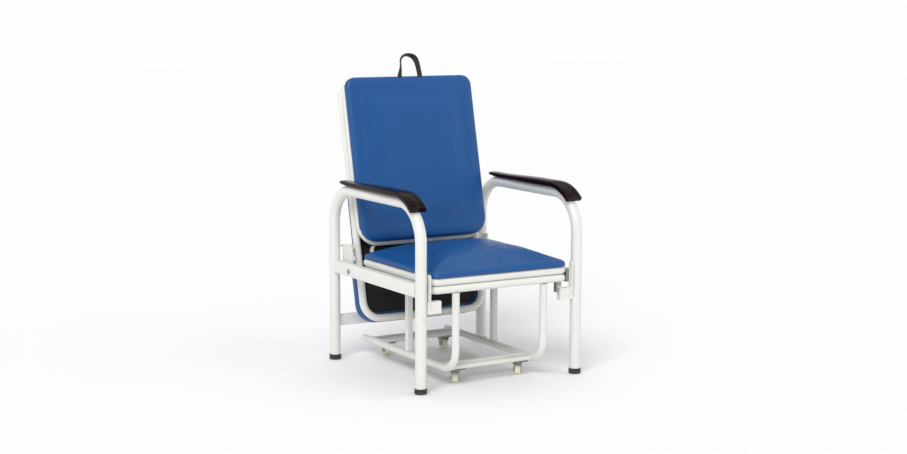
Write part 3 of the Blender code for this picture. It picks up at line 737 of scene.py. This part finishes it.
def bake(obj):
    """Apply an object's modifiers to its mesh."""
    graph = bpy.context.evaluated_depsgraph_get()
    mesh = bpy.data.meshes.new_from_object(obj.evaluated_get(graph))
    obj.modifiers.clear()
    obj.data = mesh


def inflate(obj, size, pressure, cap):
    """Swell a pad like stretched vinyl over foam; its base stays on the board and its rim stays firm."""
    half_x, low, high, _ = size
    mesh = obj.data
    start = [vertex.co.copy() for vertex in mesh.vertices]
    held = obj.vertex_groups.new(name="board")
    held.add([i for i, co in enumerate(start) if co.z < 0.0012], 1.0, "REPLACE")
    cloth = obj.modifiers.new("cloth", "CLOTH")
    cloth.settings.quality = 5
    cloth.settings.mass = 0.35
    cloth.settings.tension_stiffness = 18
    cloth.settings.compression_stiffness = 18
    cloth.settings.shear_stiffness = 8
    cloth.settings.bending_stiffness = 0.8
    cloth.settings.use_pressure = True
    cloth.settings.uniform_pressure_force = pressure
    cloth.settings.vertex_group_mass = "board"
    cloth.settings.effector_weights.gravity = 0
    cloth.collision_settings.use_collision = False
    scene = bpy.context.scene
    for number in range(1, 21):
        scene.frame_set(number)
    bake(obj)
    for vertex, before in zip(obj.data.vertices, start):
        move = vertex.co - before
        rim_gap = max(min(half_x - abs(before.x), before.y - low, high - before.y), 0.0)
        limit = cap * min(1.0, (rim_gap / FIRM_RIM) ** 2) + 0.0006
        if move.length > limit:
            vertex.co = before + move * (limit / move.length)
    scene.frame_set(1)


def crease(obj, half_x, low, high, radii, roll):
    """Pleats gathered at the corners, drag lines near the rim and the valley behind a rolled edge."""
    low_radius, high_radius = radii
    corners = [(sign * (half_x - radius), end + push * radius)
               for sign in (-1, 1) for end, push, radius in ((low, 1, low_radius), (high, -1, high_radius))]
    moves = []
    for vertex in obj.data.vertices:
        co = vertex.co
        rim_gap = max(min(half_x - abs(co.x), co.y - low, high - co.y), 0.0)
        near_rim = math.exp(-rim_gap / 0.035)
        amount = 0.0
        for cx, cv in corners:
            away = Vector((co.x - cx, co.y - cv))
            if away.x * cx > 0 and away.y * (cv - (low + high) / 2) > 0:
                angle = math.atan2(abs(away.y), abs(away.x))
                amount += near_rim * math.sin(2 * angle) ** 2 * math.sin(angle * 18 + 3 * cx / half_x)
        along = Vector((co.x * 9, co.y * 9, co.z * 22))
        amount *= PLEAT_DEPTH
        amount += DRAG_DEPTH * near_rim * noise.noise(along * 2.2) + DRAG_DEPTH * noise.noise(along * 0.6)
        amount -= roll * math.exp(-((rim_gap - ROLL_WIDTH) / (ROLL_WIDTH / 3)) ** 2)
        moves.append(vertex.normal * amount)
    for vertex, move in zip(obj.data.vertices, moves):
        vertex.co += move
        vertex.co.z = max(vertex.co.z, 0.0)


def fit(obj, half_x, low, high, thick):
    """Stretch a pad by the last millimetres onto the sizes that the frame gives it."""
    places = [vertex.co.copy() for vertex in obj.data.vertices]
    reach = max(abs(co.x) for co in places)
    first, last = min(co.y for co in places), max(co.y for co in places)
    bottom, top = min(co.z for co in places), max(co.z for co in places)
    for vertex, co in zip(obj.data.vertices, places):
        vertex.co = (co.x * half_x / reach, low + (co.y - first) * (high - low) / (last - first),
                     (co.z - bottom) * thick / (top - bottom))


def upholstery(node, size, radii, profile, roll, pressure, swell):
    """One upholstered pad, flat on its board in a frame of its own.

    roll is the depth of the valley behind the rolled edge; swell caps how far the vinyl moves.
    """
    half_x, low, high, thick = size
    shrink = 0.0015
    inner = [radius - shrink for radius in radii]
    rows = pad_rows(half_x - shrink, low + shrink, high - shrink, inner, thick * 0.96, profile)
    pad = loft(node, rows)
    remesh(pad, VOXEL)
    inflate(pad, size, pressure, swell)
    fit(pad, half_x, low, high, thick)
    crease(pad, half_x, low, high, radii, roll)
    subdivide = pad.modifiers.new("smooth", "SUBSURF")
    subdivide.levels = 1
    subdivide.render_levels = 1
    bake(pad)
    return pad


def cover(pad, node, place):
    pad.data.transform(place)
    pad.data.shade_smooth()
    stand_for(pad, node, BLUE)


def back_place(out, facing):
    """Frame of a back pad: across, up the back, and out to the front (-1) or rear (1)."""
    across = X_AXIS * -facing
    turn = Matrix((across, UP, BACK * facing)).transposed().to_4x4()
    return Matrix.Translation(TOP + BACK * out) @ turn


def back_size(node):
    """Half width, lowest and highest reach up the back, thickness, and both faces of a back pad."""
    out_low, out_high = extent(node, BACK, TOP)
    low, high = extent(node, UP, TOP)
    return (extent(node, X_AXIS)[1], low, high, out_high - out_low), out_low, out_high


def cushions():
    """The two back pads, the pillow under the rear one, and the seat."""
    (half_x, low, high, thick), _, out_high = back_size("back_cushion")
    size = (half_x + PROUD, low - PROUD / 2, high, thick)
    pad = upholstery("back_cushion", size, (0.060, 0.036), BACK_PROFILE, 0.0022, 2.0, 0.009)
    cover(pad, "back_cushion", back_place(out_high, -1))

    size, out_low, _ = back_size("rear_pad")
    pad = upholstery("rear_pad", size, (0.014, 0.046), PAD_PROFILE, 0.0004, 1.5, 0.002)
    taper_start = size[1] + 0.20
    for vertex in pad.data.vertices:         # the pad thins towards the panel's top
        share = min(max((vertex.co.y - taper_start) / 0.16, 0.0), 1.0)
        vertex.co.z *= 1 - 0.45 * share
        vertex.co.x *= 1 - 0.035 * share
        vertex.co.y -= 0.009 * share
    cover(pad, "rear_pad", back_place(out_low, 1))

    size, out_low, _ = back_size("pillow")
    pad = upholstery("pillow", size, (0.066, 0.020), PILLOW_PROFILE, 0.0006, 4.0, 0.006)
    cover(pad, "pillow", back_place(out_low, 1))

    low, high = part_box("seat_cushion")
    size = (high.x, -high.y, -low.y, high.z - low.z)
    pad = upholstery("seat_cushion", size, (0.026, 0.030), SEAT_PROFILE, 0.0, 4.0, 0.022)
    turn = Matrix((-X_AXIS, -Y_AXIS, Z_AXIS)).transposed().to_4x4()
    cover(pad, "seat_cushion", Matrix.Translation((0, 0, low.z)) @ turn)


def linings():
    """Black cloth stretched over the boards of both back panels and the seat."""
    for node in ("front_backing", "rear_backing"):
        out_low, out_high = extent(node, BACK, TOP)
        low, high = extent(node, UP, TOP)
        half = extent(node, X_AXIS)[1]
        inner = out_high if node == "front_backing" else out_low
        facing = 1 if node == "front_backing" else -1
        board = lining_board(node, half, low, high, (0.046, 0.035), out_high - out_low)
        board.data.transform(back_place(inner - facing * (out_high - out_low), facing))
        stand_for(board, node, LINING)
    ring_low, ring_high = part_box("seat_ring")
    radius = (ring_high.z - ring_low.z) / 2
    thick = 0.006
    half = ring_high.x - 2 * radius - 0.001
    low, high = -(ring_high.y - 2 * radius - 0.001), -(ring_low.y + 2 * radius + 0.001)
    board = lining_board("seat_lining", half, low, high, (0.030, 0.040), thick)
    turn = Matrix((X_AXIS, -Y_AXIS, -Z_AXIS)).transposed().to_4x4()
    board.data.transform(Matrix.Translation((0, 0, ring_high.z - 0.0002)) @ turn)
    ride_as(board, "seat_ring", LINING)


def lining_board(name, half, low, high, radii, thick):
    """Thin board under cloth, its face towards local +Z: sags between its edges, puckers at tacks."""
    work = bmesh.new()
    outline = rounded_rect(half, low, high, *radii, steps=8)
    face = work.faces.new([work.verts.new((x, v, 0)) for x, v in outline])
    side = bmesh.ops.extrude_face_region(work, geom=[face])
    tops = [item for item in side["geom"] if isinstance(item, bmesh.types.BMVert)]
    bmesh.ops.translate(work, vec=(0, 0, thick), verts=tops)
    board = mesh_object(name, work)
    remesh(board, VOXEL)
    for vertex in board.data.vertices:
        co = vertex.co
        if co.z < thick / 2:
            continue
        rim_gap = max(min(half - abs(co.x), co.y - low, high - co.y), 0.0)
        tack = math.sin((co.x + co.y) * 140) * math.exp(-rim_gap / 0.012)
        ripple = noise.noise(Vector((co.x * 14, co.y * 5, 0.3)))
        co.z += -0.0008 * (1 - math.exp(-rim_gap / 0.04)) + 0.0003 * tack + 0.0005 * ripple
        co.z = min(co.z, thick)
    board.data.shade_smooth()
    return board


# ---------------------------------------------------------------- strap handle

# Section of the webbing: (along its width, along its thickness) in shares of half of each
STRAP_FACE = ((-0.97, 0.9), (-0.86, 1.15), (-0.78, 0.7), (-0.4, 0.85), (0.0, 0.9), (0.4, 0.85),
              (0.78, 0.7), (0.86, 1.15), (0.97, 0.9))
STRAP_SECTION = ((-1.0, 0.0), *STRAP_FACE, (1.0, 0.0), *((-u, -v) for u, v in STRAP_FACE))


def strap():
    """Flat webbing loop on the cushion's top edge, twisting as it rises from its left foot."""
    node = "strap_handle"
    rise_low, rise_high = extent(node, UP, TOP)
    out_low, out_high = extent(node, BACK, TOP)
    out = (out_low + out_high) / 2
    tall = rise_high - rise_low
    stations = (             # across, share of the rise, turn of the width in degrees
        (-0.0400, 0.000, 172), (-0.0375, 0.14, 160), (-0.0340, 0.30, 146), (-0.0315, 0.46, 136),
        (-0.0305, 0.60, 133), (-0.0300, 0.72, 133), (-0.0250, 0.87, 127), (-0.0130, 0.975, 117),
        (0.0000, 1.00, 112), (0.0130, 0.960, 122), (0.0240, 0.87, 145), (0.0310, 0.72, 165),
        (0.0350, 0.50, 176), (0.0375, 0.25, 180), (0.0390, 0.000, 180),
    )
    rows = []
    steps = 6
    last = len(stations) - 1
    for k in range(last * steps + 1):
        position = k / steps
        i = min(int(position), last - 1)
        rows.append(smooth_between(stations, i, position - i))
    points = [on_back(x, rise_low - 0.006 + (tall + 0.0040) * share, out) for x, share, twist in rows]
    sections = []
    for k, (point, (x, share, twist)) in enumerate(zip(points, rows)):
        along = (points[min(k + 1, len(points) - 1)] - points[max(k - 1, 0)]).normalized()
        flat = along.cross(BACK).normalized()
        angle = math.radians(twist)
        width = flat * math.cos(angle) + BACK * math.sin(angle)
        normal = along.cross(width).normalized()
        sections.append([point + width * (u * STRAP_WIDTH / 2) + normal * (v * STRAP_THICK / 2)
                         for u, v in STRAP_SECTION])
    stand_for(loft(node, sections, 50), node, WEBBING)


def smooth_between(stations, i, t):
    """Catmull-Rom value between station i and the next one."""
    before = stations[max(i - 1, 0)]
    after = stations[min(i + 2, len(stations) - 1)]
    values = []
    for a, b, c, d in zip(before, stations[i], stations[i + 1], after):
        values.append(0.5 * (2 * b + (c - a) * t + (2 * a - 5 * b + 4 * c - d) * t * t
                             + (3 * b - a - 3 * c + d) * t ** 3))
    return values


# ---------------------------------------------------------------- casters and fittings

def casters():
    """Nylon wheels, riveted forks and screwed plates."""
    for end in ("front_left", "front_right", "rear_left", "rear_right"):
        roll = joints["caster_roll_" + end]
        hub, axle = Vector(roll["pos_m"]), Vector(roll["axis"]).normalized()
        node = "caster_wheel_" + end
        low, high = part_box(node)
        radius = (high.z - low.z) / 2
        reach = max(extent(node, axle, hub))
        w = reach - 0.003
        half = [(0, w - 0.0012), (0.0070, w - 0.0012), (0.0080, w - 0.0006), (0.0085, w), (0.0100, w),
                (0.0108, w - 0.0012), (0.0132, w - 0.0012), (0.0140, w - 0.0002), (0.0152, w),
                (0.0164, w - 0.0006), (0.0174, w - 0.0020), (radius - 0.0001, w - 0.0040),
                (radius, w - 0.0060)]
        profile = half + [(r, -h) for r, h in reversed(half)]
        stand_for(turned(node, hub, axle, profile, 56), node, NYLON)
        caster_fork(end, hub, axle)
        dress("caster_plate_" + end, ZINC, 0.0004)
        fork_reach = max(extent("caster_fork_" + end, axle, hub))
        for name, way in (("in", 1), ("out", -1)):
            head = [(0, -0.002), (0.0042, -0.002), (0.0042, 0.0002), (0.0036, 0.0012), (0.0020, 0.0017),
                    (0, 0.0018)]
            rivet = turned(f"axle_rivet_{name}_{end}", hub + axle * (way * fork_reach), axle * way, head, 24)
            ride_as(rivet, "caster_fork_" + end, ZINC)
        screws("caster_screws_" + end, "caster_plate_" + end)


def caster_fork(end, hub, axle):
    """Pressed fork: a ball-race cap with two cheeks that narrow and lean in towards the axle."""
    node = "caster_fork_" + end
    low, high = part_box(node)
    outer = max(extent(node, axle, hub))
    inner = outer - 0.002
    ahead = Z_AXIS.cross(axle)
    top = Vector((hub.x, hub.y, high.z))
    cap = [(0, -0.0044), (0.0150, -0.0044), (0.0178, -0.0036), (0.0192, -0.0018), (0.0186, -0.0003),
           (0.0150, -0.0001), (0.0144, -0.0006), (0, -0.0006)]
    stand_for(turned(node, top, Z_AXIS, cap, 40), node, ZINC)
    levels = (               # height above the axle, half length, lean outwards
        (high.z - hub.z - 0.0012, 0.0180, 0.0042), (0.0180, 0.0158, 0.0034), (0.0130, 0.0122, 0.0016),
        (0.0070, 0.0090, 0.0004), (0.0, 0.0076, 0.0), (-0.0040, 0.0060, 0.0), (-0.0066, 0.0030, 0.0),
    )
    for name, way in (("in", 1), ("out", -1)):
        rows = []
        for height, half, lean in levels:
            near, far = (hub + Z_AXIS * height + axle * (way * (face + lean)) for face in (inner, outer))
            side = ahead * half
            bow = axle * (-way * 0.6 * lean)             # the cheek's ends curl in
            rows.append([near - side + bow, near, near + side + bow,
                         far + side + bow, far, far - side + bow])
        cheek = loft(f"fork_cheek_{name}_{end}", rows, 50)
        bevel = cheek.modifiers.new("edges", "BEVEL")
        bevel.width = 0.0004
        bevel.segments = 2
        bevel.limit_method = "ANGLE"
        ride_as(cheek, node, ZINC)


def screws(name, node):
    """Four low pan heads under a caster plate, as one piece."""
    low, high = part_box(node)
    plate_under = high.z - 0.0026
    work = bmesh.new()
    for x in (low.x + 0.006, high.x - 0.006):
        for y in (low.y + 0.008, high.y - 0.008):
            shape = Matrix.Translation((x, y, plate_under)) @ Matrix.Diagonal((1, 1, 0.5, 1))
            bmesh.ops.create_uvsphere(work, u_segments=16, v_segments=10, radius=0.0033, matrix=shape)
    ride_as(mesh_object(name, work), node, ZINC)


def fittings():
    """Bolts, brackets, hinges and carriages, with the small pieces on them."""
    for side, sign in SIDES:
        node = "rail_bolt_" + side
        low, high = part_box(node)
        centre = middle(node)
        centre.x = low.x if sign > 0 else high.x
        head = [(0, -0.001), (0.0088, -0.001), (0.0088, 0.0003), (0.0070, 0.0004), (0.0069, 0.0018),
                (0.0058, 0.0032), (0.0038, 0.0039), (0.0034, 0.0039), (0.0030, 0.0022), (0, 0.0020)]
        stand_for(turned(node, centre, X_AXIS * sign, head, 40), node, ZINC)
        for node in ("front_bracket_", "carriage_", "seat_lug_", "link_plate_",
                     "top_hinge_rear_", "top_hinge_front_", "pivot_pin_"):
            dress(node + side, WHITE)
        latch_rod(side, sign)
        guide_block(side, sign)
    seat_catch()


def latch_rod(side, sign):
    """Round grip welded along the top of a carriage."""
    low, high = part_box("carriage_" + side)
    x = sign * (min(abs(low.x), abs(high.x)) + 0.0012)
    rear, front = (high.y + 0.019, high.z - 0.009), (low.y + 0.010, high.z + 0.002)
    ends = [Vector((x, y, z)) for y, z in (rear, front)]
    along = (ends[1] - ends[0]).normalized()
    length = (ends[1] - ends[0]).length
    shape = [(0, 0), (0.0030, 0), (0.0040, 0.0010), (0.0040, length - 0.0010), (0.0030, length), (0, length)]
    ride_as(turned("latch_rod_" + side, ends[0], along, shape, 24), "carriage_" + side, WHITE)


def guide_block(side, sign):
    """Steel guide between the front strip and the seat rings' corner."""
    bracket_low, bracket_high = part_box("front_bracket_" + side)
    ring_low, ring_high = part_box("base_ring")
    outer = max(abs(bracket_low.x), abs(bracket_high.x)) - 0.0015
    xs = sorted((sign * (ring_high.x + 0.0012), sign * outer))
    front = bracket_low.y + 0.021
    corners = ((xs[0], front, ring_low.z - 0.003), (xs[1], front + 0.024, ring_high.z + 0.014))
    # Zinc grey here is partly painted shade: bare steel, but also standing in for the shade on this inward-facing
    # guide.
    ride_as(rounded_box("guide_block_" + side, *corners, 0.0012), "front_bracket_" + side, ZINC)


def seat_catch():
    """Bent steel hook under the right front corner of the rolling frame."""
    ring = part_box("base_ring")[0]
    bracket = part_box("front_bracket_right")[0]
    base = Vector((bracket.x - 0.0100, bracket.y + 0.022, ring.z + 0.001))
    bars = (("foot", (0.0, -0.009, -0.0150), (0.0180, 0.009, 0.0)),
            ("lip", (0.0, -0.009, -0.0340), (0.0042, 0.009, -0.012)))
    for name, low, high in bars:
        piece = rounded_box("catch_" + name, Vector(low) + base, Vector(high) + base, 0.0008)
        # Zinc grey on the hook is partly painted shade: bare steel, but also standing in for the shade under the
        # ring's corner.
        ride_as(piece, "base_ring", ZINC)


studio()
side_arches()
flat_ring("seat_ring")
flat_ring("base_ring")
back_ring("rear_ring", REAR_RING_CORNERS)
back_ring("front_ring", FRONT_RING_CORNERS)
rolling_base()
bars()
welds()
armrests()
cushions()
linings()
strap()
casters()
fittings()
